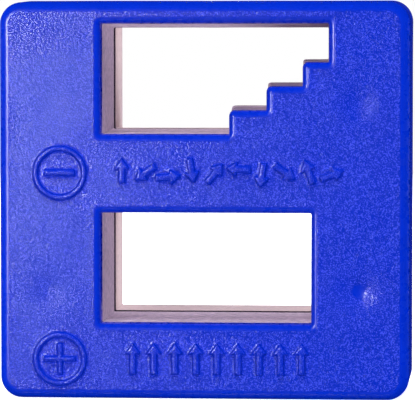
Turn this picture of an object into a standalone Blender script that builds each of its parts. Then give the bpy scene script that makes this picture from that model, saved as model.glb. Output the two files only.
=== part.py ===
"""A two-window block that magnetizes and demagnetizes screwdrivers and other small tools.

Two moulded shells press together over four posts. Each window is lined by a front and a rear
sleeve, and two ferrite blocks lie in the bars above and below the lower window.

Frame: X across the width, Y through the depth with the marked face towards -Y, Z up.
The origin is at the middle of the base, on the parting plane. Units are metres.
"""

import math

import bmesh
import bpy

MM = 0.001

FRONT = -1
REAR = 1

# Body
WIDTH = 52.0 * MM
HEIGHT = 50.0 * MM
HALF_DEPTH = 14.0 * MM
CORNER_RADIUS = 2.75 * MM
DRAFT = math.tan(math.radians(1.8))
FACE_FILLET = 1.0 * MM
WALL = 1.5 * MM
FACE_THICKNESS = 2.0 * MM
SEAM_GAP = 0.2 * MM

# Windows, as (x, z) corners counter-clockwise seen from the front, at the lip of the face
LOWER_WINDOW = [
    (-12.9 * MM, 9.45 * MM),
    (13.4 * MM, 9.45 * MM),
    (13.4 * MM, 23.3 * MM),
    (-12.9 * MM, 23.3 * MM),
]
STEP_RISE = 2.99 * MM
UPPER_WINDOW_LEFT = -12.9 * MM
UPPER_WINDOW_RIGHT = 15.55 * MM
UPPER_WINDOW_BOTTOM = 33.1 * MM
UPPER_WINDOW_TOP = 46.93 * MM
RISERS_X = [3.15 * MM, 7.8 * MM, 12.3 * MM]
WINDOW_CORNER_RADIUS = 0.18 * MM
STEP_NOSE_RADIUS = 0.7 * MM
LEAST_RADIUS = 0.15 * MM
RIM_FILLET = 0.78 * MM
# The windows of the rear face are slightly wider than the ends of their liners
WINDOW_EASE = {FRONT: 0.0, REAR: 0.1 * MM}

# Window liners. Offsets are outwards from the window's lip.
LINER_END_OFFSET = {FRONT: 0.07 * MM, REAR: -0.25 * MM}
LINER_SEAM_OFFSET = -0.4 * MM
LINER_OUTER_OFFSET = 0.87 * MM
LINER_END_GAP = 0.1 * MM
LINER_SEAM_GAP = 1.5 * MM
LINER_RIM_GAP = 0.13 * MM
LINER_RIM_WALL = 0.6 * MM
LINER_RIM_HEIGHT = 1.2 * MM

# Step lip that lines up the shells at the parting plane
LIP_OFFSET = 0.82 * MM
LIP_HEIGHT = 1.0 * MM
REBATE_OFFSET = 0.7 * MM
REBATE_DEPTH = 1.1 * MM

# Posts on the rear shell and sockets in the front shell
POST_PLACES = [(x * MM, z * MM) for x in (-19.3, 19.3) for z in (13.6, 36.8)]
SOCKET_RADIUS = 3.0 * MM
BORE_RADIUS = 1.65 * MM
BORE_MOUTH_RADIUS = 2.1 * MM
BORE_DEPTH = 8.0 * MM
COLLAR_RADIUS = 2.7 * MM
PIN_RADIUS = 1.5 * MM
PIN_TIP_RADIUS = 1.1 * MM
PIN_REACH = 6.5 * MM
BOSS_GAP = 0.8 * MM
CHAMFER = 0.5 * MM

# Magnets and the pockets that hold their ends
MAGNET_LENGTH = 40.0 * MM
MAGNET_DEPTH = 20.0 * MM
MAGNET_THICKNESS = 6.0 * MM
MAGNET_EDGE = 0.4 * MM
CENTRE_MAGNET_Z = 28.3 * MM
BASE_MAGNET_Z = 4.8 * MM
POCKET_GAP = 0.15 * MM
POCKET_WALL = 0.6 * MM
POCKET_END = 6.0 * MM
PAD_PLACES_X = [-12.0 * MM, 12.0 * MM]
PAD_SIDE = 3.0 * MM
PAD_GAP = 0.2 * MM

# Raised signs on the front face
RELIEF_HEIGHT = 0.4 * MM
SIGN_X = -18.0 * MM
MINUS_Z = 28.3 * MM
PLUS_Z = 5.0 * MM
SIGN_RADIUS = 3.375 * MM
SIGN_STROKE = 0.66 * MM
MINUS_BAR = (3.87 * MM, 0.82 * MM)
PLUS_BAR = (4.0 * MM, 0.68 * MM)
ALIGNED_ARROWS = 9
ALIGNED_LENGTH = 4.0 * MM
ALIGNED_FROM_X = -8.85 * MM
ALIGNED_TO_X = 12.25 * MM
ALIGNED_Z = 5.1 * MM
MIXED_LENGTH = 3.2 * MM
MIXED_FROM_X = -10.2 * MM
MIXED_TO_X = 16.0 * MM
MIXED_Z = 28.3 * MM
# Direction in degrees and lift above the row, one pair for each arrow of the mixed row
MIXED_ARROWS = [
    (90, 0.3 * MM),
    (215, 0.0),
    (5, -0.5 * MM),
    (-80, 0.3 * MM),
    (50, 0.0),
    (175, 0.5 * MM),
    (-100, -0.3 * MM),
    (-35, 0.1 * MM),
    (110, 0.2 * MM),
    (20, -0.2 * MM),
]
HEAD_WIDTH = 2.1 * MM
HEAD_LENGTH = 1.45 * MM
SHAFT_WIDTH = 0.85 * MM

# How far a cutter runs past what it cuts, and how deep a joined piece is sunk
PAST = 1.0 * MM
SUNK = 0.5 * MM

# Segments of each rounded stretch
BODY_CORNER_STEPS = 6
WINDOW_CORNER_STEPS = 3
FACE_FILLET_STEPS = 4
RIM_FILLET_STEPS = 3
ROUND_SIDES = 24
SIGN_SIDES = 32


def clear_scene():
    for thing in list(bpy.data.objects):
        bpy.data.objects.remove(thing)


def material(name, colour, roughness):
    made = bpy.data.materials.new(name)
    made.use_nodes = True
    shader = made.node_tree.nodes["Principled BSDF"]
    shader.inputs["Base Color"].default_value = (*colour, 1.0)
    shader.inputs["Roughness"].default_value = roughness
    shader.inputs["Metallic"].default_value = 0.0
    return made


# Outlines: lists of (x, z) points, counter-clockwise seen from the front


def rectangle(left, right, bottom, top):
    return [(left, bottom), (right, bottom), (right, top), (left, top)]


def stepped_window():
    """The upper window: a rectangle whose lower right is taken up by three rising steps."""
    corners = [(UPPER_WINDOW_LEFT, UPPER_WINDOW_BOTTOM)]
    tread_z = UPPER_WINDOW_BOTTOM
    for riser_x in RISERS_X:
        corners.append((riser_x, tread_z))
        tread_z += STEP_RISE
        corners.append((riser_x, tread_z))
    corners.append((UPPER_WINDOW_RIGHT, tread_z))
    corners.append((UPPER_WINDOW_RIGHT, UPPER_WINDOW_TOP))
    corners.append((UPPER_WINDOW_LEFT, UPPER_WINDOW_TOP))
    return corners


def direction(start, end):
    length = math.hypot(end[0] - start[0], end[1] - start[1])
    return ((end[0] - start[0]) / length, (end[1] - start[1]) / length)


def outline(corners, offset, outer_radius, inner_radius=0.0, steps=WINDOW_CORNER_STEPS):
    """A right-angled outline moved outwards by offset, with its corners rounded.

    outer_radius is for the corners that point outwards and inner_radius for the re-entrant ones.
    """
    points = []
    count = len(corners)
    for i, corner in enumerate(corners):
        ahead = direction(corners[i - 1], corner)
        leaving = direction(corner, corners[(i + 1) % count])
        turn = ahead[0] * leaving[1] - ahead[1] * leaving[0]
        radius = outer_radius if turn > 0 else inner_radius
        moved_x = corner[0] + offset * (ahead[1] + leaving[1])
        moved_z = corner[1] - offset * (ahead[0] + leaving[0])
        centre_x = moved_x + radius * (leaving[0] - ahead[0])
        centre_z = moved_z + radius * (leaving[1] - ahead[1])
        for step in range(steps + 1):
            angle = 0.5 * math.pi * step / steps
            along = math.sin(angle)
            across = math.cos(angle)
            points.append(
                (
                    centre_x + radius * (along * ahead[0] - across * leaving[0]),
                    centre_z + radius * (along * ahead[1] - across * leaving[1]),
                )
            )
    return points


def window_outline(corners, offset):
    """A window outline, with its corners rounded less and less away from the lip."""
    outer_radius = max(WINDOW_CORNER_RADIUS + offset, LEAST_RADIUS)
    inner_radius = max(STEP_NOSE_RADIUS - abs(offset), LEAST_RADIUS)
    return outline(corners, offset, outer_radius, inner_radius)


def body_outline(depth, inset):
    """The body's outline at a depth from the parting plane, moved inwards by inset.

    The base stays square to the parting plane, so that the block stands flat.
    """
    narrowing = DRAFT * depth
    half_width = 0.5 * WIDTH - narrowing
    corners = rectangle(-half_width, half_width, 0.0, HEIGHT - narrowing)
    return outline(corners, -inset, CORNER_RADIUS - inset, steps=BODY_CORNER_STEPS)


def circle(x, z, radius, sides=ROUND_SIDES):
    turns = [2.0 * math.pi * i / sides for i in range(sides)]
    return [(x + radius * math.cos(t), z + radius * math.sin(t)) for t in turns]


def arrow(x, z, length, degrees):
    """A block arrow centred at x, z, pointing in the given direction."""
    tail = -0.5 * length
    neck = 0.5 * length - HEAD_LENGTH
    tip = 0.5 * length
    half_shaft = 0.5 * SHAFT_WIDTH
    half_head = 0.5 * HEAD_WIDTH
    shape = [
        (tail, -half_shaft),
        (neck, -half_shaft),
        (neck, -half_head),
        (tip, 0.0),
        (neck, half_head),
        (neck, half_shaft),
        (tail, half_shaft),
    ]
    cosine = math.cos(math.radians(degrees))
    sine = math.sin(math.radians(degrees))
    return [(x + cosine * u - sine * v, z + sine * u + cosine * v) for u, v in shape]


def plus(x, z, length, width):
    half_length = 0.5 * length
    half_width = 0.5 * width
    arm = [(half_width, half_width), (half_width, half_length), (-half_width, half_length)]
    points = []
    for quarter in range(4):
        cosine = (1, 0, -1, 0)[quarter]
        sine = (0, 1, 0, -1)[quarter]
        for u, v in arm:
            points.append((x + cosine * u - sine * v, z + sine * u + cosine * v))
    return points


# Bodies


def add_loop(bm, y, points):
    return [bm.verts.new((x, y, z)) for x, z in points]


def add_wall(bm, first, second):
    count = len(first)
    for i in range(count):
        j = (i + 1) % count
        bm.faces.new((first[i], first[j], second[j], second[i]))


def add_loft(bm, stations):
    """A closed body through (y, outline) stations whose outlines have matching points."""
    loops = [add_loop(bm, y, points) for y, points in stations]
    for first, second in zip(loops, loops[1:]):
        add_wall(bm, first, second)
    bm.faces.new(loops[0])
    bm.faces.new(loops[-1])


def add_tube(bm, start, end):
    """A closed tube between two stations, each (y, outer outline, inner outline)."""
    outer = [add_loop(bm, station[0], station[1]) for station in (start, end)]
    inner = [add_loop(bm, station[0], station[2]) for station in (start, end)]
    add_wall(bm, outer[0], outer[1])
    add_wall(bm, inner[0], inner[1])
    add_wall(bm, outer[0], inner[0])
    add_wall(bm, outer[1], inner[1])


def finish_object(name, bm):
    bmesh.ops.recalc_face_normals(bm, faces=bm.faces)
    mesh = bpy.data.meshes.new(name)
    bm.to_mesh(mesh)
    bm.free()
    made = bpy.data.objects.new(name, mesh)
    bpy.context.scene.collection.objects.link(made)
    return made


def loft(name, stations):
    bm = bmesh.new()
    add_loft(bm, stations)
    return finish_object(name, bm)


def tube(name, start, end):
    bm = bmesh.new()
    add_tube(bm, start, end)
    return finish_object(name, bm)


def combine(target, operation, tool):
    """Adds or takes away a helper shape, which stays in the scene as a hidden guide."""
    tool.hide_render = True
    tool.display_type = "WIRE"
    step = target.modifiers.new(tool.name, "BOOLEAN")
    step.operation = operation
    step.solver = "EXACT"
    step.object = tool


def cut(target, tool):
    combine(target, "DIFFERENCE", tool)


def join(target, tool):
    combine(target, "UNION", tool)


# The shells


def outer_body(name, side):
    """A half block: drafted sides up to the rounded edge of its face."""
    seam = 0.5 * SEAM_GAP
    stations = [(side * seam, body_outline(seam, 0.0))]
    fillet_start = HALF_DEPTH - FACE_FILLET
    for step in range(FACE_FILLET_STEPS + 1):
        angle = 0.5 * math.pi * step / FACE_FILLET_STEPS
        depth = fillet_start + FACE_FILLET * math.sin(angle)
        inset = FACE_FILLET * (1.0 - math.cos(angle))
        stations.append((side * depth, body_outline(depth, inset)))
    return loft(name, stations)


def cut_cavity(shell, side):
    floor = HALF_DEPTH - FACE_THICKNESS
    past_seam = -(LIP_HEIGHT + PAST)
    stations = [
        (side * floor, body_outline(floor, WALL)),
        (side * past_seam, body_outline(past_seam, WALL)),
    ]
    cut(shell, loft(f"{shell.name}_cavity", stations))


def window_stations(corners, side):
    """A window cutter, flared at the face so that it leaves a rounded rim."""
    ease = WINDOW_EASE[side]
    stations = [(side * (HALF_DEPTH + PAST), window_outline(corners, ease + RIM_FILLET))]
    for step in range(RIM_FILLET_STEPS + 1):
        angle = 0.5 * math.pi * step / RIM_FILLET_STEPS
        depth = HALF_DEPTH - RIM_FILLET * (1.0 - math.cos(angle))
        flare = ease + RIM_FILLET * (1.0 - math.sin(angle))
        stations.append((side * depth, window_outline(corners, flare)))
    end = HALF_DEPTH - FACE_THICKNESS - PAST
    lip = HALF_DEPTH - RIM_FILLET
    stations.append((side * end, window_outline(corners, ease + DRAFT * (end - lip))))
    return stations


def add_liner_rim(shell, name, corners, side):
    """A low frame inside the face that keeps the end of a window liner in place."""
    inner = LINER_OUTER_OFFSET + LINER_RIM_GAP
    outlines = [window_outline(corners, offset) for offset in (inner + LINER_RIM_WALL, inner)]
    floor = HALF_DEPTH - FACE_THICKNESS
    start = (side * (floor + SUNK), *outlines)
    end = (side * (floor - LINER_RIM_HEIGHT), *outlines)
    join(shell, tube(f"{shell.name}_{name}_rim", start, end))


def add_pocket(shell, name, middle_z, side):
    """A frame round the end of a magnet, with two pads that stop it short of the face."""
    half_length = 0.5 * MAGNET_LENGTH
    half_thickness = 0.5 * MAGNET_THICKNESS
    corners = rectangle(
        -half_length, half_length, middle_z - half_thickness, middle_z + half_thickness
    )
    inner = outline(corners, POCKET_GAP, LEAST_RADIUS)
    outer = outline(corners, POCKET_GAP + POCKET_WALL, POCKET_WALL)
    sunk = HALF_DEPTH - FACE_THICKNESS + SUNK
    frame = tube(
        f"{shell.name}_{name}_pocket",
        (side * sunk, outer, inner),
        (side * POCKET_END, outer, inner),
    )
    join(shell, frame)
    pad_end = 0.5 * MAGNET_DEPTH + PAD_GAP
    half_pad = 0.5 * PAD_SIDE
    for i, pad_x in enumerate(PAD_PLACES_X):
        square = rectangle(
            pad_x - half_pad, pad_x + half_pad, middle_z - half_pad, middle_z + half_pad
        )
        stations = [(side * sunk, square), (side * pad_end, square)]
        join(shell, loft(f"{shell.name}_{name}_pad_{i + 1}", stations))


def turned(name, x, z, profile, side):
    """A body turned about a Y axis through x, z from (depth, radius) pairs."""
    return loft(name, [(side * depth, circle(x, z, radius)) for depth, radius in profile])


def add_sockets(shell):
    floor = HALF_DEPTH - FACE_THICKNESS
    mouth = 0.5 * BOSS_GAP
    for i, (x, z) in enumerate(POST_PLACES):
        boss = [(floor + SUNK, SOCKET_RADIUS), (mouth, SOCKET_RADIUS)]
        bore = [
            (BORE_DEPTH, BORE_RADIUS),
            (mouth + CHAMFER, BORE_RADIUS),
            (mouth, BORE_MOUTH_RADIUS),
            (mouth - PAST, BORE_MOUTH_RADIUS),
        ]
        join(shell, turned(f"socket_boss_{i + 1}", x, z, boss, FRONT))
        cut(shell, turned(f"socket_bore_{i + 1}", x, z, bore, FRONT))


def add_posts(shell):
    floor = HALF_DEPTH - FACE_THICKNESS
    shoulder = 0.5 * BOSS_GAP
    for i, (x, z) in enumerate(POST_PLACES):
        post = [
            (floor + SUNK, COLLAR_RADIUS),
            (shoulder, COLLAR_RADIUS),
            (shoulder, PIN_RADIUS),
            (CHAMFER - PIN_REACH, PIN_RADIUS),
            (-PIN_REACH, PIN_TIP_RADIUS),
        ]
        join(shell, turned(f"post_{i + 1}", x, z, post, REAR))


def add_relief(shell):
    """The raised signs: a circled minus and plus, and two rows of arrows.

    The upper row points every way, like the regions of unmagnetized steel. The lower row is
    lined up with the field, like those of magnetized steel.
    """
    bm = bmesh.new()
    base = -(HALF_DEPTH - SUNK)
    top = -(HALF_DEPTH + RELIEF_HEIGHT)
    for sign_z in (MINUS_Z, PLUS_Z):
        ring = (
            circle(SIGN_X, sign_z, SIGN_RADIUS, SIGN_SIDES),
            circle(SIGN_X, sign_z, SIGN_RADIUS - SIGN_STROKE, SIGN_SIDES),
        )
        add_tube(bm, (base, *ring), (top, *ring))
    half_bar = 0.5 * MINUS_BAR[0]
    half_width = 0.5 * MINUS_BAR[1]
    shapes = [
        rectangle(
            SIGN_X - half_bar, SIGN_X + half_bar, MINUS_Z - half_width, MINUS_Z + half_width
        ),
        plus(SIGN_X, PLUS_Z, *PLUS_BAR),
    ]
    pitch = (ALIGNED_TO_X - ALIGNED_FROM_X) / (ALIGNED_ARROWS - 1)
    for i in range(ALIGNED_ARROWS):
        shapes.append(arrow(ALIGNED_FROM_X + i * pitch, ALIGNED_Z, ALIGNED_LENGTH, 90))
    pitch = (MIXED_TO_X - MIXED_FROM_X) / (len(MIXED_ARROWS) - 1)
    for i, (degrees, lift) in enumerate(MIXED_ARROWS):
        shapes.append(arrow(MIXED_FROM_X + i * pitch, MIXED_Z + lift, MIXED_LENGTH, degrees))
    for shape in shapes:
        add_loft(bm, [(base, shape), (top, shape)])
    join(shell, finish_object("relief", bm))


def add_inner_frames(shell, side):
    add_liner_rim(shell, "lower", LOWER_WINDOW, side)
    add_liner_rim(shell, "upper", stepped_window(), side)
    add_pocket(shell, "centre", CENTRE_MAGNET_Z, side)
    add_pocket(shell, "base", BASE_MAGNET_Z, side)


def cut_windows(shell, side):
    cut(shell, loft(f"{shell.name}_lower_window", window_stations(LOWER_WINDOW, side)))
    cut(shell, loft(f"{shell.name}_upper_window", window_stations(stepped_window(), side)))


def front_shell(blue):
    shell = outer_body("front_shell", FRONT)
    rebate = [
        (FRONT * REBATE_DEPTH, body_outline(0.0, REBATE_OFFSET)),
        (-FRONT * PAST, body_outline(0.0, REBATE_OFFSET)),
    ]
    cut(shell, loft("rebate", rebate))
    cut_cavity(shell, FRONT)
    add_inner_frames(shell, FRONT)
    add_sockets(shell)
    cut_windows(shell, FRONT)
    add_relief(shell)
    shell.data.materials.append(blue)
    return shell


def rear_shell(blue):
    shell = outer_body("rear_shell", REAR)
    lip = [
        (REAR * PAST, body_outline(0.0, LIP_OFFSET)),
        (-REAR * (LIP_HEIGHT - 0.5 * SEAM_GAP), body_outline(0.0, LIP_OFFSET)),
    ]
    join(shell, loft("step_lip", lip))
    cut_cavity(shell, REAR)
    add_inner_frames(shell, REAR)
    add_posts(shell)
    cut_windows(shell, REAR)
    shell.data.materials.append(blue)
    return shell


# The liners and the magnets


def liner(name, corners, side, grey):
    """A window sleeve: straight outside, tapered inside, narrowest at the parting plane."""
    seam = 0.5 * LINER_SEAM_GAP
    end = HALF_DEPTH - FACE_THICKNESS - LINER_END_GAP
    outer = window_outline(corners, LINER_OUTER_OFFSET)
    inner_at_seam = window_outline(corners, LINER_SEAM_OFFSET)
    inner_at_end = window_outline(corners, LINER_END_OFFSET[side])
    made = tube(name, (side * seam, outer, inner_at_seam), (side * end, outer, inner_at_end))
    made.data.materials.append(grey)
    return made


def magnet(name, middle_z, ferrite):
    """A ferrite block with chamfered ends and rounded long edges."""
    half_length = 0.5 * MAGNET_LENGTH
    half_thickness = 0.5 * MAGNET_THICKNESS
    corners = rectangle(
        -half_length, half_length, middle_z - half_thickness, middle_z + half_thickness
    )
    whole = outline(corners, 0.0, MAGNET_EDGE + LEAST_RADIUS)
    chamfered = outline(corners, -MAGNET_EDGE, LEAST_RADIUS)
    half_depth = 0.5 * MAGNET_DEPTH
    shoulder = half_depth - MAGNET_EDGE
    stations = [
        (-half_depth, chamfered),
        (-shoulder, whole),
        (shoulder, whole),
        (half_depth, chamfered),
    ]
    made = loft(name, stations)
    made.data.materials.append(ferrite)
    return made


def build():
    clear_scene()
    blue = material("blue_case", (0.03, 0.06, 0.56), 0.42)
    grey = material("grey_liner", (0.55, 0.42, 0.55), 0.6)
    ferrite = material("ferrite", (0.035, 0.035, 0.038), 0.55)
    front_shell(blue)
    rear_shell(blue)
    liner("magnetize_liner_front", LOWER_WINDOW, FRONT, grey)
    liner("magnetize_liner_rear", LOWER_WINDOW, REAR, grey)
    liner("demagnetize_liner_front", stepped_window(), FRONT, grey)
    liner("demagnetize_liner_rear", stepped_window(), REAR, grey)
    magnet("centre_magnet", CENTRE_MAGNET_Z, ferrite)
    magnet("base_magnet", BASE_MAGNET_Z, ferrite)


build()
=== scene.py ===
"""Looks of the two-window magnetizer block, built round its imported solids.

Both shells get a fine outer skin with moulded grain, soft raised signs, sink marks and rounded
edges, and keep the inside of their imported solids. The window liners are swept again with rounded
ends. The two magnets keep their solids and get a sintered material.

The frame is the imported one: X across the width, -Y out of the marked face, Z up. Units are metres.
"""

import math

import bmesh
import bpy
import numpy as np
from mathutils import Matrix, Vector, kdtree
from mathutils.geometry import delaunay_2d_cdt


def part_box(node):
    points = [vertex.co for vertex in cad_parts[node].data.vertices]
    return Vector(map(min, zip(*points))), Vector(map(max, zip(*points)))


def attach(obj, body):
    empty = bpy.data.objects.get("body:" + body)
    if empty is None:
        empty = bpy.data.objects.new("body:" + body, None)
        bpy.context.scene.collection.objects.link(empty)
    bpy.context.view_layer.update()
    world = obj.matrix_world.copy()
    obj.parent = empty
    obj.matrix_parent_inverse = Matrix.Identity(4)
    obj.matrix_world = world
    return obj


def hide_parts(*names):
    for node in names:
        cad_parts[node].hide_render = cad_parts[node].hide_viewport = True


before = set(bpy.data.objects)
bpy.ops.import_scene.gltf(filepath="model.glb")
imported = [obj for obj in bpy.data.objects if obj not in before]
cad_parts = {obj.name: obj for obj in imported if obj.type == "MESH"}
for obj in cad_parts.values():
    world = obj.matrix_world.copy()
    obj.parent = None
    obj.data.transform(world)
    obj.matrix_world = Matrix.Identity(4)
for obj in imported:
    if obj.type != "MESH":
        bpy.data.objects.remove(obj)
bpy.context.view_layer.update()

MM = 0.001

FRONT = -1
REAR = 1

# Body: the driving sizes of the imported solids
FRONT_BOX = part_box("front_shell")
REAR_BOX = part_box("rear_shell")
SEAM_HALF = -FRONT_BOX[1].y
DRAFT = math.tan(math.radians(1.8))
HALF_WIDTH = FRONT_BOX[1].x + DRAFT * SEAM_HALF
HEIGHT = FRONT_BOX[1].z + DRAFT * SEAM_HALF
HALF_DEPTH = REAR_BOX[1].y
RELIEF_HEIGHT = -FRONT_BOX[0].y - HALF_DEPTH
CORNER_RADIUS = 2.75 * MM
FACE_FILLET = 1.12 * MM
SEAM_ROUND = 0.12 * MM
FACE_THICKNESS = 2.0 * MM

# Windows, as (x, z) corners counter-clockwise seen from the front
LOWER_WINDOW = [
    (-12.9 * MM, 9.45 * MM),
    (13.4 * MM, 9.45 * MM),
    (13.4 * MM, 23.3 * MM),
    (-12.9 * MM, 23.3 * MM),
]
UPPER_WINDOW_LEFT = -12.9 * MM
UPPER_WINDOW_RIGHT = 15.55 * MM
UPPER_WINDOW_BOTTOM = 33.1 * MM
UPPER_WINDOW_TOP = 46.93 * MM
RISERS_X = [3.15 * MM, 7.8 * MM, 12.3 * MM]
STEP_RISE = 2.99 * MM
WINDOW_CORNER_RADIUS = 0.18 * MM
STEP_NOSE_RADIUS = 0.7 * MM
LEAST_RADIUS = 0.15 * MM
RIM_FILLET = 0.78 * MM
# The windows of the rear face are slightly wider, so that its liners hide their edges
WINDOW_EASE = {FRONT: 0.0, REAR: 0.1 * MM}

# Window liners
LINER_END_OFFSET = {FRONT: 0.07 * MM, REAR: -0.25 * MM}
LINER_SEAM_OFFSET = -0.4 * MM
LINER_OUTER_OFFSET = 0.87 * MM
LINER_EDGE = 0.1 * MM
LINER_WAVE = 0.02 * MM
LINER_WAVE_CELL = 2.6 * MM
# How far the painted shade of the seam gap reaches along each liner half
PAINTED_SHADE_DEPTH = {FRONT: 0.06 * MM, REAR: 0.4 * MM}

# Raised signs
SIGN_X = -18.0 * MM
MINUS_Z = 28.3 * MM
PLUS_Z = 5.0 * MM
SIGN_RADIUS = 3.375 * MM
SIGN_STROKE = 0.66 * MM
MINUS_BAR = (3.87 * MM, 0.82 * MM)
PLUS_BAR = (4.0 * MM, 0.68 * MM)
ALIGNED_ARROWS = 9
ALIGNED_LENGTH = 4.0 * MM
ALIGNED_FROM_X = -8.85 * MM
ALIGNED_TO_X = 12.25 * MM
ALIGNED_Z = 5.1 * MM
MIXED_LENGTH = 3.2 * MM
MIXED_FROM_X = -10.2 * MM
MIXED_TO_X = 16.0 * MM
MIXED_Z = 28.3 * MM
# Direction in degrees and lift above the row, one pair for each arrow of the mixed row
MIXED_ARROWS = [
    (90, 0.3 * MM),
    (215, 0.0),
    (5, -0.5 * MM),
    (-80, 0.3 * MM),
    (50, 0.0),
    (175, 0.5 * MM),
    (-100, -0.3 * MM),
    (-35, 0.1 * MM),
    (110, 0.2 * MM),
    (20, -0.2 * MM),
]
HEAD_WIDTH = 2.1 * MM
HEAD_LENGTH = 1.45 * MM
SHAFT_WIDTH = 0.85 * MM
SIGN_CORNER = 0.14 * MM
# A raised sign's flank runs from its foot outside the outline to its shoulder inside it
FOOT = 0.08 * MM
SHOULDER = 0.13 * MM

# Sink marks over the four posts inside, as (x, z, depth). The upper left one can hardly be seen.
SINK_MARKS = [
    (-19.3 * MM, 13.6 * MM, 0.16 * MM),
    (-19.3 * MM, 36.8 * MM, 0.05 * MM),
    (19.3 * MM, 13.6 * MM, 0.5 * MM),
    (19.3 * MM, 36.8 * MM, 0.28 * MM),
]
SINK_RADIUS = 1.8 * MM

# Moulded grain and the slight unevenness of a moulded face
GRAIN_CELL = 0.32 * MM
GRAIN_DEPTH = 0.012 * MM
WAVE_CELL = 7.0 * MM
WAVE_DEPTH = 0.03 * MM
# The sinks and waves fade out towards the fillets of the body and the rims of the windows
EDGE_FADE = 1.5 * MM
RIM_FADE = 1.0 * MM
# Shares of the grain on top of the raised signs and on the sides of the body
TOP_GRAIN = 0.8
SIDE_GRAIN = 0.7
# A narrow flat ring beside each fillet, over which the grain begins
GUARD = 0.06 * MM

# Mesh spacings
FACE_SPACING = 0.215 * MM
FACE_JITTER = 0.03 * MM
SIGN_SPACING = 0.13 * MM
BODY_SPACING = 0.34 * MM
SIDE_STEP = 0.5 * MM
WINDOW_SPACING = 0.26 * MM
BODY_CORNER_STEPS = 13
WINDOW_CORNER_STEPS = 6
FACE_FILLET_STEPS = 8
RIM_FILLET_STEPS = 7
EDGE_STEPS = 3
LINER_WALL_STEPS = 26

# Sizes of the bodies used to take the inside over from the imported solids
INNER_INSET = {FRONT: 0.75 * MM, REAR: 0.84 * MM}
LIP_INSET = 0.85 * MM
INNER_START = HALF_DEPTH - 1.0 * MM
PAST_SEAM = {FRONT: 1.0 * MM, REAR: 8.0 * MM}
SHARP_DEGREES = 50.0
PIN_REACH = 7.5 * MM
PLATE_BACK = HALF_DEPTH - FACE_THICKNESS
HAIR = 0.01 * MM
RELIEVED_OFFSET = 0.85 * MM
GUARD_OFFSET = 0.8 * MM
GUARD_END = PLATE_BACK - 0.05 * MM


# Outlines: arrays of (x, z) points, counter-clockwise seen from the front


def stepped_window():
    """The upper window: a rectangle whose lower right is taken up by three rising steps."""
    corners = [(UPPER_WINDOW_LEFT, UPPER_WINDOW_BOTTOM)]
    tread_z = UPPER_WINDOW_BOTTOM
    for riser_x in RISERS_X:
        corners.append((riser_x, tread_z))
        tread_z += STEP_RISE
        corners.append((riser_x, tread_z))
    corners.append((UPPER_WINDOW_RIGHT, tread_z))
    corners.append((UPPER_WINDOW_RIGHT, UPPER_WINDOW_TOP))
    corners.append((UPPER_WINDOW_LEFT, UPPER_WINDOW_TOP))
    return corners


WINDOWS = {"lower": LOWER_WINDOW, "upper": stepped_window()}


def rectangle(left, right, bottom, top):
    return [(left, bottom), (right, bottom), (right, top), (left, top)]


def direction(start, end):
    length = math.hypot(end[0] - start[0], end[1] - start[1])
    return ((end[0] - start[0]) / length, (end[1] - start[1]) / length)


def outline(corners, offset, outer_radius, inner_radius, steps, parts):
    """A right-angled outline moved outwards by offset, its corners rounded and its sides divided.

    parts is the number of pieces of each side, so outlines at different offsets can be joined
    point by point.
    """
    arcs = []
    count = len(corners)
    for i, corner in enumerate(corners):
        ahead = direction(corners[i - 1], corner)
        leaving = direction(corner, corners[(i + 1) % count])
        turn = ahead[0] * leaving[1] - ahead[1] * leaving[0]
        radius = outer_radius if turn > 0 else inner_radius
        centre_x = corner[0] + offset * (ahead[1] + leaving[1]) + radius * (leaving[0] - ahead[0])
        centre_z = corner[1] - offset * (ahead[0] + leaving[0]) + radius * (leaving[1] - ahead[1])
        angles = 0.5 * math.pi * np.arange(steps + 1) / steps
        along = np.sin(angles)
        across = np.cos(angles)
        arc_x = centre_x + radius * (along * ahead[0] - across * leaving[0])
        arc_z = centre_z + radius * (along * ahead[1] - across * leaving[1])
        arcs.append(np.stack([arc_x, arc_z], axis=1))
    runs = []
    for i, arc in enumerate(arcs):
        share = (np.arange(1, parts[i]) / parts[i])[:, None]
        runs.append(arc)
        runs.append(arc[-1] + share * (arcs[(i + 1) % count][0] - arc[-1]))
    return np.concatenate(runs)


def side_parts(corners, spacing):
    """How many pieces about one spacing long each side of an outline is divided into."""
    sides = zip(corners, corners[1:] + corners[:1])
    return [max(int(round(math.dist(start, end) / spacing)), 1) for start, end in sides]


def window_outline(corners, offset):
    """A window outline, with its corners rounded less and less away from the lip."""
    outer_radius = max(WINDOW_CORNER_RADIUS + offset, LEAST_RADIUS)
    inner_radius = max(STEP_NOSE_RADIUS - abs(offset), LEAST_RADIUS)
    parts = side_parts(corners, WINDOW_SPACING)
    return outline(corners, offset, outer_radius, inner_radius, WINDOW_CORNER_STEPS, parts)


def body_outline(depth, inset):
    """The body's outline at a depth from the parting plane, moved inwards by inset."""
    narrowing = DRAFT * depth
    half_width = HALF_WIDTH - narrowing
    corners = rectangle(-half_width, half_width, 0.0, HEIGHT - narrowing)
    parts = side_parts(rectangle(-HALF_WIDTH, HALF_WIDTH, 0.0, HEIGHT), BODY_SPACING)
    return outline(corners, -inset, CORNER_RADIUS - inset, 0.0, BODY_CORNER_STEPS, parts)


# Distances in the plane of a face


def smooth(low, high, value):
    """0 below low, 1 above high, and a smooth rise between them."""
    share = np.clip((value - low) / (high - low), 0.0, 1.0)
    return share * share * (3.0 - 2.0 * share)


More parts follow.
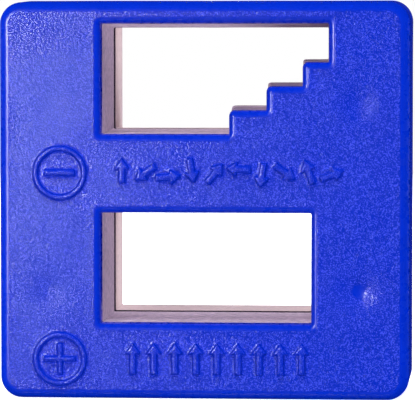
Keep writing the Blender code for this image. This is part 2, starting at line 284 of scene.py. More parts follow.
def polygon_distance(points, corners):
    """The signed distance of each (x, z) point from a polygon, negative inside it."""
    nearest = np.full(len(points), np.inf)
    inside = np.zeros(len(points), bool)
    for start, end in zip(corners, corners[1:] + corners[:1]):
        run = np.subtract(end, start)
        to_point = points - start
        share = np.clip(to_point @ run / (run @ run), 0.0, 1.0)
        gap = to_point - share[:, None] * run
        nearest = np.minimum(nearest, np.hypot(gap[:, 0], gap[:, 1]))
        crosses = (start[1] > points[:, 1]) != (end[1] > points[:, 1])
        if run[1] != 0.0:
            crossing_x = start[0] + run[0] * to_point[:, 1] / run[1]
            inside ^= crosses & (points[:, 0] < crossing_x)
    return np.where(inside, -nearest, nearest)


def body_inset(points, depth):
    """How far each point lies inside the body's outline at a depth."""
    half_width = HALF_WIDTH - DRAFT * depth
    half_height = 0.5 * (HEIGHT - DRAFT * depth)
    past_x = np.abs(points[:, 0]) - half_width + CORNER_RADIUS
    past_z = np.abs(points[:, 1] - half_height) - half_height + CORNER_RADIUS
    corner = np.hypot(np.maximum(past_x, 0.0), np.maximum(past_z, 0.0))
    return CORNER_RADIUS - corner - np.minimum(np.maximum(past_x, past_z), 0.0)


def rim_gap(points, side):
    """How far each point lies outside the rounded rim of the nearest window."""
    gaps = [polygon_distance(points, corners) for corners in WINDOWS.values()]
    return np.minimum(*gaps) - WINDOW_EASE[side] - RIM_FILLET


# The raised signs


def placed(shape, x, z, degrees=0.0):
    cosine = math.cos(math.radians(degrees))
    sine = math.sin(math.radians(degrees))
    return [(x + cosine * u - sine * v, z + sine * u + cosine * v) for u, v in shape]


def arrow(length):
    """A block arrow pointing along +u, centred on its length."""
    tail = -0.5 * length
    neck = 0.5 * length - HEAD_LENGTH
    half_shaft = 0.5 * SHAFT_WIDTH
    half_head = 0.5 * HEAD_WIDTH
    return [
        (tail, -half_shaft),
        (neck, -half_shaft),
        (neck, -half_head),
        (0.5 * length, 0.0),
        (neck, half_head),
        (neck, half_shaft),
        (tail, half_shaft),
    ]


def plus(length, width):
    half_length = 0.5 * length
    half_width = 0.5 * width
    arm = [(half_width, half_width), (half_width, half_length), (-half_width, half_length)]
    points = []
    for cosine, sine in ((1, 0), (0, 1), (-1, 0), (0, -1)):
        points.extend((cosine * u - sine * v, sine * u + cosine * v) for u, v in arm)
    return points


def shrunk(corners, distance):
    """A polygon with every side moved inwards by the same distance."""
    moved = []
    for i, corner in enumerate(corners):
        ahead = direction(corners[i - 1], corner)
        leaving = direction(corner, corners[(i + 1) % len(corners)])
        turn = ahead[0] * leaving[1] - ahead[1] * leaving[0]
        slide = distance / turn
        moved.append(
            (
                corner[0] + slide * (leaving[0] - ahead[0]),
                corner[1] + slide * (leaving[1] - ahead[1]),
            )
        )
    return moved


def sign_polygons():
    half_bar = 0.5 * MINUS_BAR[0]
    half_stroke = 0.5 * MINUS_BAR[1]
    shapes = [
        placed(rectangle(-half_bar, half_bar, -half_stroke, half_stroke), SIGN_X, MINUS_Z),
        placed(plus(*PLUS_BAR), SIGN_X, PLUS_Z),
    ]
    pitch = (ALIGNED_TO_X - ALIGNED_FROM_X) / (ALIGNED_ARROWS - 1)
    for i in range(ALIGNED_ARROWS):
        place_x = ALIGNED_FROM_X + i * pitch
        shapes.append(placed(arrow(ALIGNED_LENGTH), place_x, ALIGNED_Z, 90))
    pitch = (MIXED_TO_X - MIXED_FROM_X) / (len(MIXED_ARROWS) - 1)
    for i, (degrees, lift) in enumerate(MIXED_ARROWS):
        place_x = MIXED_FROM_X + i * pitch
        shapes.append(placed(arrow(MIXED_LENGTH), place_x, MIXED_Z + lift, degrees))
    return [shrunk(shape, SIGN_CORNER) for shape in shapes]


SIGN_POLYGONS = sign_polygons()
SIGN_CENTRES = [(SIGN_X, MINUS_Z), (SIGN_X, PLUS_Z)]
SIGN_REACH = 1.0 * MM


def ring_distance(points, centre):
    radius = np.hypot(points[:, 0] - centre[0], points[:, 1] - centre[1])
    middle = SIGN_RADIUS - 0.5 * SIGN_STROKE
    return np.abs(radius - middle) - 0.5 * SIGN_STROKE


def sign_distance(points):
    """The distance of each point from the nearest raised sign, negative on a sign."""
    nearest = np.full(len(points), SIGN_REACH)
    for centre in SIGN_CENTRES:
        nearest = np.minimum(nearest, ring_distance(points, centre))
    for corners in SIGN_POLYGONS:
        low = np.min(corners, axis=0) - SIGN_REACH
        high = np.max(corners, axis=0) + SIGN_REACH
        near = np.all((points > low) & (points < high), axis=1)
        reach = polygon_distance(points[near], corners) - SIGN_CORNER
        nearest[near] = np.minimum(nearest[near], reach)
    return nearest


def sign_contour(level):
    """Points along the line that lies outside every sign's outline by level."""
    candidates = []
    turns = 2.0 * math.pi
    for centre in SIGN_CENTRES:
        for radius in (SIGN_RADIUS + level, SIGN_RADIUS - SIGN_STROKE - level):
            count = int(turns * radius / SIGN_SPACING)
            angles = turns * np.arange(count) / count
            ring = np.stack([np.cos(angles), np.sin(angles)], axis=1)
            candidates.append(np.array(centre) + radius * ring)
    reach = SIGN_CORNER + level
    for corners in SIGN_POLYGONS:
        for start, end in zip(corners, corners[1:] + corners[:1]):
            ahead = direction(start, end)
            outwards = np.array((ahead[1], -ahead[0]))
            parts = max(int(round(math.dist(start, end) / SIGN_SPACING)), 1)
            share = ((np.arange(parts) + 0.5) / parts)[:, None]
            line = np.array(start) + share * np.subtract(end, start)
            candidates.append(line + reach * outwards)
        if reach > 0.0:
            count = max(int(turns * reach / SIGN_SPACING), 8)
            angles = turns * np.arange(count) / count
            circle = reach * np.stack([np.cos(angles), np.sin(angles)], axis=1)
            candidates.extend(np.array(corner) + circle for corner in corners)
    points = np.concatenate(candidates)
    return points[np.abs(sign_distance(points) - level) < 0.002 * MM]


# Height of the faces


def lattice(cells, seed):
    """A repeatable number from 0 to 1 for each whole-numbered (x, y, z) cell."""
    mixed = cells[:, 0] * 374761393 + cells[:, 1] * 668265263 + cells[:, 2] * 1103515245
    mixed = (mixed + seed * 974634777) & 0xFFFFFFFF
    mixed = ((mixed ^ (mixed >> 13)) * 1274126177) & 0xFFFFFFFF
    return ((mixed ^ (mixed >> 16)) & 0xFFFF) / 65535.0


def noise(points, cell, seed):
    """Smooth noise from 0 to 1 with features about one cell across."""
    scaled = points / cell
    low = np.floor(scaled).astype(np.int64)
    share = scaled - low
    share = share * share * (3.0 - 2.0 * share)
    total = np.zeros(len(points))
    for corner in np.ndindex(2, 2, 2):
        step = np.array(corner)
        weight = np.prod(np.where(step == 1, share, 1.0 - share), axis=1)
        total += weight * lattice(low + step, seed)
    return total


def sink_depth(points):
    """How deep the face sinks over the bosses."""
    total = np.zeros(len(points))
    for x, z, depth in SINK_MARKS:
        squared = (points[:, 0] - x) ** 2 + (points[:, 1] - z) ** 2
        total += depth * np.exp(-squared / SINK_RADIUS**2)
    return total


def face_grain(points, side):
    """The share of moulded grain on a face: none on the fillets, the rims and the signs."""
    fillet_gap = body_inset(points, HALF_DEPTH) - FACE_FILLET
    share = smooth(-GUARD, GUARD, fillet_gap) * smooth(-GUARD, GUARD, rim_gap(points, side))
    if side == FRONT:
        distance = sign_distance(points)
        around = smooth(0.0, FOOT, distance)
        share = share * np.maximum(around, TOP_GRAIN * smooth(0.3 * SHOULDER, SHOULDER, -distance))
    return share


def face_height(points, side):
    """How far the face stands out past its nominal plane. Only the signs stand out."""
    space = np.stack([points[:, 0], np.full(len(points), side * HALF_DEPTH), points[:, 1]], axis=1)
    edge_share = smooth(0.0, EDGE_FADE, body_inset(points, HALF_DEPTH) - FACE_FILLET)
    edge_share = edge_share * smooth(0.0, RIM_FADE, rim_gap(points, side))
    height = -edge_share * (sink_depth(points) + WAVE_DEPTH * noise(space, WAVE_CELL, 5))
    ridges = noise(space, GRAIN_CELL, 1)
    height = height - GRAIN_DEPTH * face_grain(points, side) * ridges
    if side == FRONT:
        height = height + RELIEF_HEIGHT * smooth(-FOOT, SHOULDER, -sign_distance(points))
    return height


# Mesh building


class Surface:
    """Points and faces gathered before they become a mesh."""

    def __init__(self):
        self.points = []
        self.faces = []
        self.count = 0

    def add(self, points):
        """Adds (x, y, z) points and returns their numbers."""
        self.points.append(points)
        first = self.count
        self.count += len(points)
        return np.arange(first, self.count)

    def add_ring(self, ring, y):
        return self.add(np.stack([ring[:, 0], np.broadcast_to(y, len(ring)), ring[:, 1]], axis=1))

    def band(self, first, second):
        """Four-sided faces between two closed rings with matching points."""
        quads = np.stack([first, np.roll(first, -1), np.roll(second, -1), second], axis=1)
        self.faces.extend(quads.tolist())

    def chain(self, rings):
        for first, second in zip(rings, rings[1:]):
            self.band(first, second)

    def cap(self, ring):
        self.faces.append(ring.tolist())

    def build(self, name):
        mesh = bpy.data.meshes.new(name)
        mesh.from_pydata(np.concatenate(self.points).tolist(), [], self.faces)
        bm = bmesh.new()
        bm.from_mesh(mesh)
        bmesh.ops.recalc_face_normals(bm, faces=bm.faces)
        bm.to_mesh(mesh)
        bm.free()
        made = bpy.data.objects.new(name, mesh)
        bpy.context.scene.collection.objects.link(made)
        return made


def spread(boundary, side):
    """Slightly irregular points over a face, clear of the points that are already on it."""
    tree = kdtree.KDTree(len(boundary))
    for i, (x, z) in enumerate(boundary):
        tree.insert((x, z, 0.0), i)
    tree.balance()
    row_step = FACE_SPACING * math.sqrt(0.75)
    rows = int(HEIGHT / row_step)
    columns = int(2.0 * HALF_WIDTH / FACE_SPACING)
    row, column = np.meshgrid(np.arange(rows), np.arange(columns), indexing="ij")
    x = (column + 0.5 * (row % 2)) * FACE_SPACING - HALF_WIDTH
    z = row * row_step
    points = np.stack([x.ravel(), z.ravel()], axis=1)
    points += np.random.default_rng(7).uniform(-FACE_JITTER, FACE_JITTER, points.shape)
    on_face = body_inset(points, HALF_DEPTH) > FACE_FILLET + GUARD
    on_face &= rim_gap(points, side) > GUARD
    points = points[on_face]
    least = 0.62 * FACE_SPACING
    clear = [tree.find((x, z, 0.0))[2] > least for x, z in points.tolist()]
    return points[np.array(clear)]


def triangulate(loops, loose):
    """Triangles over a plate bounded by loops of (x, z) points, the first one the outside.

    The numbers in the triangles count through the loops and then the loose points.
    """
    edges = []
    start = 0
    for loop in loops:
        count = len(loop)
        edges.extend((start + i, start + (i + 1) % count) for i in range(count))
        start += count
    points = np.concatenate([*loops, loose]) / MM
    verts = [Vector(p) for p in points.tolist()]
    found = delaunay_2d_cdt(verts, edges, [], 1, 1e-6)
    origin = [numbers[0] for numbers in found[3]]
    triangles = np.array([[origin[i] for i in face] for face in found[2]])
    centres = points[triangles].mean(axis=1)
    keep = np.ones(len(triangles), bool)
    for loop in loops[1:]:
        keep &= polygon_distance(centres, (loop / MM).tolist()) > 0.0
    return triangles[keep]


def add_plate(surface, rings, outlines, loose, y):
    """Fills the space between rings that are already in the surface."""
    triangles = triangulate(outlines, loose)
    numbers = np.concatenate([*rings, surface.add_ring(loose, y)])
    surface.faces.extend(numbers[triangles].tolist())


# The shells


def outer_stations():
    """(depth, inset) pairs from the parting plane, along the side and round the face's fillet."""
    stations = []
    for step in range(EDGE_STEPS + 1):
        angle = 0.5 * math.pi * step / EDGE_STEPS
        depth = SEAM_HALF + SEAM_ROUND * (1.0 - math.cos(angle))
        stations.append((depth, SEAM_ROUND * (1.0 - math.sin(angle))))
    start = stations[-1][0]
    end = HALF_DEPTH - FACE_FILLET
    steps = int(round((end - start) / SIDE_STEP))
    stations.extend((start + (end - start) * i / steps, 0.0) for i in range(1, steps))
    for step in range(FACE_FILLET_STEPS + 1):
        angle = 0.5 * math.pi * step / FACE_FILLET_STEPS
        depth = end + FACE_FILLET * math.sin(angle)
        stations.append((depth, FACE_FILLET * (1.0 - math.cos(angle))))
    stations.append((HALF_DEPTH, FACE_FILLET + GUARD))
    return stations


def rim_stations(side):
    """(depth, offset) pairs round a window's rim, through the face and down to the seam."""
    ease = WINDOW_EASE[side]
    stations = [(HALF_DEPTH, ease + RIM_FILLET + GUARD)]
    for step in range(RIM_FILLET_STEPS + 1):
        angle = 0.5 * math.pi * step / RIM_FILLET_STEPS
        depth = HALF_DEPTH - RIM_FILLET * (1.0 - math.cos(angle))
        stations.append((depth, ease + RIM_FILLET * (1.0 - math.sin(angle))))
    lip = HALF_DEPTH - RIM_FILLET
    back = PLATE_BACK - HAIR
    for share in (0.33, 0.67, 1.0):
        depth = lip + share * (back - lip)
        stations.append((depth, ease + DRAFT * (depth - lip)))
    stations.append((back, RELIEVED_OFFSET))
    stations.append((SEAM_HALF, RELIEVED_OFFSET))
    return stations


def outer_ring(depth, inset, side):
    """The body's outline with the slight unevenness of a moulded side."""
    ring = body_outline(depth, inset)
    space = np.stack([ring[:, 0], np.full(len(ring), side * depth), ring[:, 1]], axis=1)
    even = body_outline(depth, inset + WAVE_DEPTH)
    share = noise(space, WAVE_CELL, 3)[:, None] * smooth(0.0, 2.0 * MM, HALF_DEPTH - depth)
    share = share * smooth(0.0, 1.0 * MM, ring[:, 1])[:, None]
    return ring + share * (even - ring)


def skin(name, side):
    """A closed block with both windows through it: the fine outer form of a shell."""
    surface = Surface()
    rings = []
    for depth, inset in outer_stations():
        rings.append(surface.add_ring(outer_ring(depth, inset, side), side * depth))
    surface.chain(rings)
    face_outlines = [body_outline(HALF_DEPTH, FACE_FILLET + GUARD)]
    face_rings = [rings[-1]]
    seam_outlines = [outer_ring(*outer_stations()[0], side)]
    seam_rings = [rings[0]]
    for corners in WINDOWS.values():
        stations = rim_stations(side)
        rings = [
            surface.add_ring(window_outline(corners, offset), side * depth)
            for depth, offset in stations
        ]
        surface.chain(rings)
        face_outlines.append(window_outline(corners, stations[0][1]))
        face_rings.append(rings[0])
        seam_outlines.append(window_outline(corners, stations[-1][1]))
        seam_rings.append(rings[-1])
    contours = []
    if side == FRONT:
        levels = (-SHOULDER, -0.4 * SHOULDER, 0.15 * FOOT, FOOT)
        contours = [sign_contour(level) for level in levels]
    boundary = np.concatenate([*face_outlines, *contours])
    loose = np.concatenate([*contours, spread(boundary, side)])
    height = face_height(loose, side)
    add_plate(surface, face_rings, face_outlines, loose, side * (HALF_DEPTH + height))
    add_plate(surface, seam_rings, seam_outlines, np.empty((0, 2)), side * SEAM_HALF)
    return surface.build(name)


def block(name, start, end, ring_at):
    """A closed body between two Y stations, from outlines at each."""
    surface = Surface()
    rings = [surface.add_ring(ring_at(y), y) for y in (start, end)]
    surface.chain(rings)
    for ring in rings:
        surface.cap(ring)
    return surface.build(name)


def combine(target, operation, tool):
    """Adds tool to target or takes it away, and removes tool."""
    step = target.modifiers.new("combine", "BOOLEAN")
    step.operation = operation
    step.solver = "MANIFOLD"
    step.object = tool
    view = bpy.context.evaluated_depsgraph_get()
    made = bpy.data.meshes.new_from_object(target.evaluated_get(view))
    spent = [target.data, tool.data]
    target.modifiers.clear()
    target.data = made
    bpy.data.objects.remove(tool)
    for mesh in spent:
        bpy.data.meshes.remove(mesh)


def packed_solid(node):
    """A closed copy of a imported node, which comes with its edges split."""
    bm = bmesh.new()
    bm.from_mesh(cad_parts[node].data)
    bmesh.ops.remove_doubles(bm, verts=bm.verts, dist=0.001 * MM)
    mesh = bpy.data.meshes.new(f"{node}_solid")
    bm.to_mesh(mesh)
    bm.free()
    made = bpy.data.objects.new(mesh.name, mesh)
    bpy.context.scene.collection.objects.link(made)
    return made


def inner_space(node, side):
    """The room inside a packed shell: everything within its walls that isn't plastic."""
    inset = INNER_INSET[side]
    room = block(
        f"{node}_room",
        side * INNER_START,
        -side * PAST_SEAM[side],
        lambda y: body_outline(0.0, inset + DRAFT * abs(y) * (y * side > 0)),
    )
    for name, corners in WINDOWS.items():
        guard = block(
            f"{node}_{name}_guard",
            side * HALF_DEPTH,
            side * GUARD_END,
            lambda y: window_outline(corners, GUARD_OFFSET),
        )
        combine(room, "DIFFERENCE", guard)
    combine(room, "DIFFERENCE", packed_solid(node))
    return room


def grain_share(points, side):
    """The share of moulded grain at each (x, y, z) point of a shell."""
    plane = points[:, [0, 2]]
    depth = side * points[:, 1]
    on_face = smooth(HALF_DEPTH - 0.5 * MM, HALF_DEPTH - 0.35 * MM, depth)
    margin = body_inset(plane, depth)
    on_side = smooth(0.0, 0.4 * MM, depth - SEAM_HALF)
    on_side = on_side * smooth(0.0, 0.5 * MM, HALF_DEPTH - FACE_FILLET - depth)
    on_side = on_side * (margin < 3.0 * WAVE_DEPTH)
    return np.maximum(on_face * face_grain(plane, side), SIDE_GRAIN * on_side)


def mark_grain(shell, side):
    """Stores the share of grain for the materials, and picks the material of each face."""
    mesh = shell.data
    points = np.empty(len(mesh.vertices) * 3, np.float32)
    mesh.vertices.foreach_get("co", points)
    share = grain_share(points.reshape(-1, 3).astype(float), side)
    stored = mesh.attributes.new("grain", "FLOAT", "POINT")
    stored.data.foreach_set("value", share.astype(np.float32))
    corner_share = share[corner_numbers(mesh)]
    sizes = np.empty(len(mesh.polygons), np.int32)
    starts = np.empty(len(mesh.polygons), np.int32)
    mesh.polygons.foreach_get("loop_total", sizes)
    mesh.polygons.foreach_get("loop_start", starts)
    mean = np.add.reduceat(corner_share, starts) / sizes
    mesh.polygons.foreach_set("material_index", (mean < 0.5 * SIDE_GRAIN).astype(np.int32))


def corner_numbers(mesh):
    numbers = np.empty(len(mesh.loops), np.int32)
    mesh.loops.foreach_get("vertex_index", numbers)
    return numbers


def finish_mesh(made):
    made.data.shade_smooth()
    made.data.set_sharp_from_angle(angle=math.radians(SHARP_DEGREES))


def shell(node, side, materials):
    made = skin(f"{node}_moulding", side)
    if side == REAR:
        lip = block(
            "lip_room",
            REAR * MM,
            -REAR * PIN_REACH,
            lambda y: body_outline(0.0, LIP_INSET),
        )
        combine(made, "UNION", lip)
    combine(made, "DIFFERENCE", inner_space(node, side))
    made.data.materials.clear()
    for each in materials:
        made.data.materials.append(each)
    mark_grain(made, side)
    finish_mesh(made)
    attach(made, "root")
    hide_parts(node)


# The liners


def liner_section(end, seam, side):
    """(depth, offset) pairs round a liner's wall, with rounded edges."""
    outer = LINER_OUTER_OFFSET
    inner_end = LINER_END_OFFSET[side]
    inner_seam = LINER_SEAM_OFFSET
    edge = LINER_EDGE
    section = []
    for step in range(EDGE_STEPS + 1):
        angle = 0.5 * math.pi * step / EDGE_STEPS
        across = edge * (1.0 - math.sin(angle))
        along = edge * (1.0 - math.cos(angle))
        section.append((end - along, inner_end + across))
    for i in range(1, LINER_WALL_STEPS):
        share = i / LINER_WALL_STEPS
        depth = (end - edge) + share * (seam - end + 2.0 * edge)
        section.append((depth, inner_end + share * (inner_seam - inner_end)))
    for step in range(EDGE_STEPS + 1):
        angle = 0.5 * math.pi * step / EDGE_STEPS
        along = edge * (1.0 - math.sin(angle))
        across = edge * (1.0 - math.cos(angle))
        section.append((seam + along, inner_seam + across))
    section.append((seam, outer - edge))
    section.append((seam + edge, outer))
    section.append((end - edge, outer))
    section.append((end, outer - edge))
    return section


def liner(node, window, side, materials):
    corners = WINDOWS[window]
    low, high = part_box(node)
    ends = sorted((abs(low.y), abs(high.y)))
    surface = Surface()
    rings = []
    for depth, offset in liner_section(ends[1], ends[0], side):
        ring = window_outline(corners, offset)
        further = window_outline(corners, offset + LINER_WAVE)
        space = np.stack([ring[:, 0], np.full(len(ring), side * depth), ring[:, 1]], axis=1)
        inner = offset < 0.5 * LINER_OUTER_OFFSET
        share = noise(space, LINER_WAVE_CELL, 11)[:, None] * (1.0 if inner else 0.0)
        rings.append(surface.add_ring(ring + share * (further - ring), side * depth))
    surface.chain([*rings, rings[0]])
    made = surface.build(f"{node}_sleeve")
    for each in materials:
        made.data.materials.append(each)
    # Faces next to the seam get the dark second material: painted shade of the seam gap
    for face in made.data.polygons:
        if abs(face.center.y) < ends[0] + PAINTED_SHADE_DEPTH[side]:
            face.material_index = 1
    finish_mesh(made)
    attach(made, "root")
    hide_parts(node)


# Materials


class Nodes:
    """Short calls for the nodes of one material."""

    def __init__(self, name):
        self.material = bpy.data.materials.new(name)
        self.material.use_nodes = True
        self.tree = self.material.node_tree
        self.shader = self.tree.nodes["Principled BSDF"]
        self.place = self.tree.nodes.new("ShaderNodeTexCoord").outputs["Object"]

    def link(self, source, target):
        self.tree.links.new(source, target)

    def noise(self, size, detail=2.0, roughness=0.5, distortion=0.0):
        """Noise from 0 to 1 with features about size metres across."""
        node = self.tree.nodes.new("ShaderNodeTexNoise")
        self.link(self.place, node.inputs["Vector"])
        node.inputs["Scale"].default_value = 1.0 / size
        node.inputs["Detail"].default_value = detail
        node.inputs["Roughness"].default_value = roughness
        node.inputs["Distortion"].default_value = distortion
        return node.outputs["Fac"]

    def math(self, operation, first, second):
        node = self.tree.nodes.new("ShaderNodeMath")
        node.operation = operation
        for socket, value in zip(node.inputs, (first, second)):
            if isinstance(value, (int, float)):
                socket.default_value = value
            else:
                self.link(value, socket)
        return node.outputs["Value"]

    def spread(self, source, from_low, from_high, low, high):
        """source, stretched from one range of numbers to another and kept inside it."""
        node = self.tree.nodes.new("ShaderNodeMapRange")
        self.link(source, node.inputs["Value"])
        for name, value in (
            ("From Min", from_low),
            ("From Max", from_high),
            ("To Min", low),
            ("To Max", high),
        ):
            node.inputs[name].default_value = value
        return node.outputs["Result"]

    def colours(self, source, stops):
        """A colour ramp from (place, colour) stops."""
        node = self.tree.nodes.new("ShaderNodeValToRGB")
        self.link(source, node.inputs["Fac"])
        ramp = node.color_ramp
        while len(ramp.elements) < len(stops):
            ramp.elements.new(1.0)
        for element, (place, colour) in zip(ramp.elements, stops):
            element.position = place
            element.color = (*colour, 1.0)
        return node.outputs["Color"]

    def attribute(self, name):
        node = self.tree.nodes.new("ShaderNodeAttribute")
        node.attribute_name = name
        return node.outputs["Fac"]

    def bump(self, height, distance):
        """A normal from a height of 0 to 1 that stands for a real height of distance metres."""
        node = self.tree.nodes.new("ShaderNodeBump")
        node.inputs["Strength"].default_value = 1.0
        node.inputs["Distance"].default_value = distance
        self.link(height, node.inputs["Height"])
        return node.outputs["Normal"]

    def set(self, **values):
        """Sets or links the shader's sockets. An underscore stands for a space in a name."""
        for name, value in values.items():
            socket = self.shader.inputs[name.replace("_", " ")]
            if isinstance(value, bpy.types.NodeSocket):
                self.link(value, socket)
            elif isinstance(value, tuple):
                socket.default_value = (*value, 1.0)
            else:
                socket.default_value = value


def grained_blue():
    """Spark-eroded moulding grain on blue plastic: dense fine pits over faint worm-like ridges, with
    pale specks painted into the colour as glints of the grain.
    """
    made = Nodes("grained_blue")
    grain = made.attribute("grain")
    worms = made.noise(0.36 * MM, detail=2.0, roughness=0.5, distortion=0.3)
    ridges = made.spread(worms, 0.4, 0.7, 0.0, 0.34)
    pits = made.noise(0.16 * MM, detail=1.0)
    tone = made.noise(5.0 * MM, detail=3.0)
    # Pale specks in the base colour over the pits: painted glints of the grain, on top of the gloss
    # from the bump
    specks = made.math("MULTIPLY", made.spread(pits, 0.5, 0.63, 0.0, 0.85), grain)
    share = made.math("ADD", specks, made.math("MULTIPLY", tone, 0.15))
    base = made.colours(
        share,
        [(0.05, (0.0008, 0.024, 0.57)), (0.95, (0.05, 0.086, 0.85))],
    )
    height = made.math("MULTIPLY", made.math("ADD", ridges, pits), grain)
    made.set(
        Base_Color=base,
        Roughness=made.spread(worms, 0.35, 0.65, 0.2, 0.25),
        Specular_IOR_Level=0.2,
        Normal=made.bump(height, 0.05 * MM),
    )
    return made.material


def polished_blue():
    """The smooth blue of the fillets, the rims, the signs and the inside."""
    made = Nodes("polished_blue")
    tone = made.noise(3.0 * MM, detail=3.0)
    base = made.colours(
        tone,
        [(0.3, (0.001, 0.027, 0.62)), (0.7, (0.0012, 0.031, 0.68))],
    )
    ripple = made.noise(1.1 * MM, detail=2.0)
    pores = made.noise(0.2 * MM, detail=1.0)
    rough_share = made.noise(0.8 * MM, detail=2.0)
    height = made.math("ADD", ripple, made.math("MULTIPLY", pores, 0.12))
    made.set(
        Base_Color=base,
        Roughness=made.spread(rough_share, 0.3, 0.7, 0.25, 0.31),
        Specular_IOR_Level=0.2,
        Normal=made.bump(height, 0.03 * MM),
    )
    return made.material


def mottled_grey(name, dark, pale):
    """Matt, slightly mottled grey plastic with a mauve tinge, partly painted bounce light from the
    blue walls.
    """
    made = Nodes(name)
    clouds = made.noise(0.7 * MM, detail=4.0, roughness=0.7)
    base = made.colours(clouds, [(0.36, dark), (0.64, pale)])
    specks = made.noise(0.25 * MM, detail=2.0)
    height = made.math("ADD", clouds, made.math("MULTIPLY", specks, 0.4))
    made.set(
        Base_Color=base,
        Roughness=made.spread(specks, 0.3, 0.7, 0.5, 0.68),
        Specular_IOR_Level=0.2,
        Normal=made.bump(height, 0.04 * MM),
    )
    return made.material


def painted_seam_shade():
    """The cut ends of the liners at the seam, painted dark: painted shade standing in for the shadow
    in the seam gap.
    """
    made = Nodes("painted_seam_shade")
    clouds = made.noise(0.6 * MM, detail=3.0)
    base = made.colours(clouds, [(0.3, (0.02, 0.01, 0.03)), (0.7, (0.07, 0.045, 0.075))])
    specks = made.noise(0.2 * MM, detail=2.0)
    made.set(
        Base_Color=base,
        Roughness=made.spread(specks, 0.3, 0.7, 0.6, 0.8),
        Specular_IOR_Level=0.1,
        Normal=made.bump(specks, 0.04 * MM),
    )
    return made.material


def sintered_ferrite():
    """Dull black ceramic with pores and grinding marks."""
    made = Nodes("sintered_ferrite")
    clouds = made.noise(2.0 * MM, detail=4.0)
    base = made.colours(
        clouds,
        [(0.3, (0.022, 0.022, 0.024)), (0.7, (0.055, 0.053, 0.055))],
    )
    pores = made.noise(0.15 * MM, detail=2.0, roughness=0.7)
    made.set(
        Base_Color=base,
        Roughness=made.spread(clouds, 0.3, 0.7, 0.45, 0.65),
        Specular_IOR_Level=0.5,
        Normal=made.bump(pores, 0.05 * MM),
    )
    return made.material


# Floor, camera and light

FLOOR_REACH = 0.7
CAMERA_LENS = 254.64
SENSOR_WIDTH = 36.0
CAMERA_PLACE = (25.97 * MM, -378.0 * MM, 42.68 * MM)
CAMERA_DOWN = 2.78
CAMERA_LEFT = 4.001
LAMP_DISTANCE = 0.6
LAMP_SIDE = 0.12
GLOSS_DISTANCE = 0.2
GLOSS_SIDE = 0.03


def pale_floor():
    """A plain floor. Its light and shadow are kept off the object."""
    made = Nodes("pale_floor")
    tone = made.noise(80.0 * MM, detail=2.0)
    base = made.colours(tone, [(0.3, (0.9, 0.9, 0.9)), (0.7, (0.93, 0.93, 0.93))])
    made.set(Base_Color=base, Roughness=0.9, Specular_IOR_Level=0.1)
    made.set(Emission_Color=(1.0, 1.0, 1.0), Emission_Strength=0.95)
    mesh = bpy.data.meshes.new("floor")
    corners = rectangle(-FLOOR_REACH, FLOOR_REACH, -FLOOR_REACH, FLOOR_REACH)
    mesh.from_pydata([(x, y, 0.0) for x, y in corners], [], [(0, 1, 2, 3)])
    mesh.materials.append(made.material)
    floor = bpy.data.objects.new("floor", mesh)
    floor.visible_glossy = False
    floor.visible_diffuse = False
    floor.visible_shadow = False
    bpy.context.scene.collection.objects.link(floor)


def white_world():
    """White behind everything. It lights nothing: the lamps do that."""
    world = bpy.data.worlds.new("studio")
    world.use_nodes = True
    tree = world.node_tree
    tree.nodes.clear()
    output = tree.nodes.new("ShaderNodeOutputWorld")
    light = tree.nodes.new("ShaderNodeBackground")
    light.inputs["Color"].default_value = (1.0, 1.0, 1.0, 1.0)
    seen = tree.nodes.new("ShaderNodeLightPath").outputs["Is Camera Ray"]
    tree.links.new(seen, light.inputs["Strength"])
    tree.links.new(light.outputs[0], output.inputs[0])
    bpy.context.scene.world = world


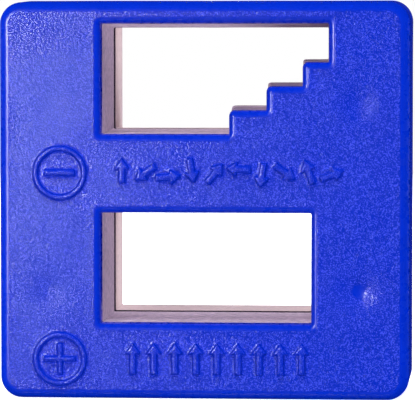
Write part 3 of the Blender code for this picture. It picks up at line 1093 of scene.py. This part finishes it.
def lamp(name, azimuth, elevation, share, gloss=False):
    """An area light aimed at the middle of the object.

    The azimuth is in degrees to the right of the marked face's own direction. The share is the
    light that it gives a surface facing it, where 1.0 makes white look white. A gloss lamp is
    seen only in reflections, and the other lamps are never seen in them.
    """
    distance = GLOSS_DISTANCE if gloss else LAMP_DISTANCE
    data = bpy.data.lights.new(name, "AREA")
    data.shape = "SQUARE"
    data.size = GLOSS_SIDE if gloss else LAMP_SIDE
    data.energy = share * math.pi**2 * distance**2
    made = bpy.data.objects.new(name, data)
    bpy.context.scene.collection.objects.link(made)
    turn = math.radians(azimuth)
    lift = math.radians(elevation)
    away = Vector(
        (math.sin(turn) * math.cos(lift), -math.cos(turn) * math.cos(lift), math.sin(lift))
    )
    made.location = distance * away + Vector((0.0, 0.0, 0.5 * HEIGHT))
    made.rotation_euler = (-away).to_track_quat("-Z", "Y").to_euler()
    made.visible_glossy = gloss
    made.visible_diffuse = not gloss


def lights():
    lamp("key", -30.0, 14.0, 0.46)
    lamp("fill", 46.0, 0.0, 0.33)
    lamp("front_low", 0.0, -50.0, 0.29)
    lamp("front_top", 0.0, 66.0, 0.54)
    lamp("left", -95.0, 0.0, 0.6)
    lamp("right", 128.0, 0.0, 0.1)
    lamp("rear_right", 112.0, 0.0, 0.52)
    lamp("rear_top", 180.0, 34.0, 0.95)
    lamp("rear_low", 180.0, -28.0, 0.7)
    lamp("front_gloss", -28.2, 9.5, 1.13, gloss=True)
    lamp("front_gloss_low", -28.2, -4.0, 0.38, gloss=True)


def camera():
    """A long lens in front of the marked face, slightly to the right of it and above it."""
    data = bpy.data.cameras.new("camera")
    data.sensor_width = SENSOR_WIDTH
    data.lens = CAMERA_LENS
    eye = bpy.data.objects.new("camera", data)
    bpy.context.scene.collection.objects.link(eye)
    eye.location = CAMERA_PLACE
    eye.rotation_euler = (math.radians(90.0 - CAMERA_DOWN), 0.0, math.radians(CAMERA_LEFT))
    bpy.context.scene.camera = eye


def dress_magnets(ferrite):
    for node in ("centre_magnet", "base_magnet"):
        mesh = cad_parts[node].data
        mesh.materials.clear()
        mesh.materials.append(ferrite)


def build():
    bpy.context.scene.view_settings.view_transform = "Standard"
    camera()
    blues = [grained_blue(), polished_blue()]
    # A dark material for the liners' seam ends: painted shade of the seam gap
    seam_shade_paint = painted_seam_shade()
    # The liner halves are one grey plastic in two lit copies: the rear copy is painted lighter for
    # the light from behind it, the front copy darker as painted shade
    greys = {
        FRONT: [mottled_grey("front_grey_painted_shade", (0.44, 0.365, 0.48), (0.7, 0.565, 0.7)), seam_shade_paint],
        REAR: [mottled_grey("rear_grey_painted_light", (0.64, 0.52, 0.54), (0.8, 0.67, 0.68)), seam_shade_paint],
    }
    shell("front_shell", FRONT, blues)
    shell("rear_shell", REAR, blues)
    for side, half in ((FRONT, "front"), (REAR, "rear")):
        liner(f"magnetize_liner_{half}", "lower", side, greys[side])
        liner(f"demagnetize_liner_{half}", "upper", side, greys[side])
    dress_magnets(sintered_ferrite())
    pale_floor()
    white_world()
    lights()


build()
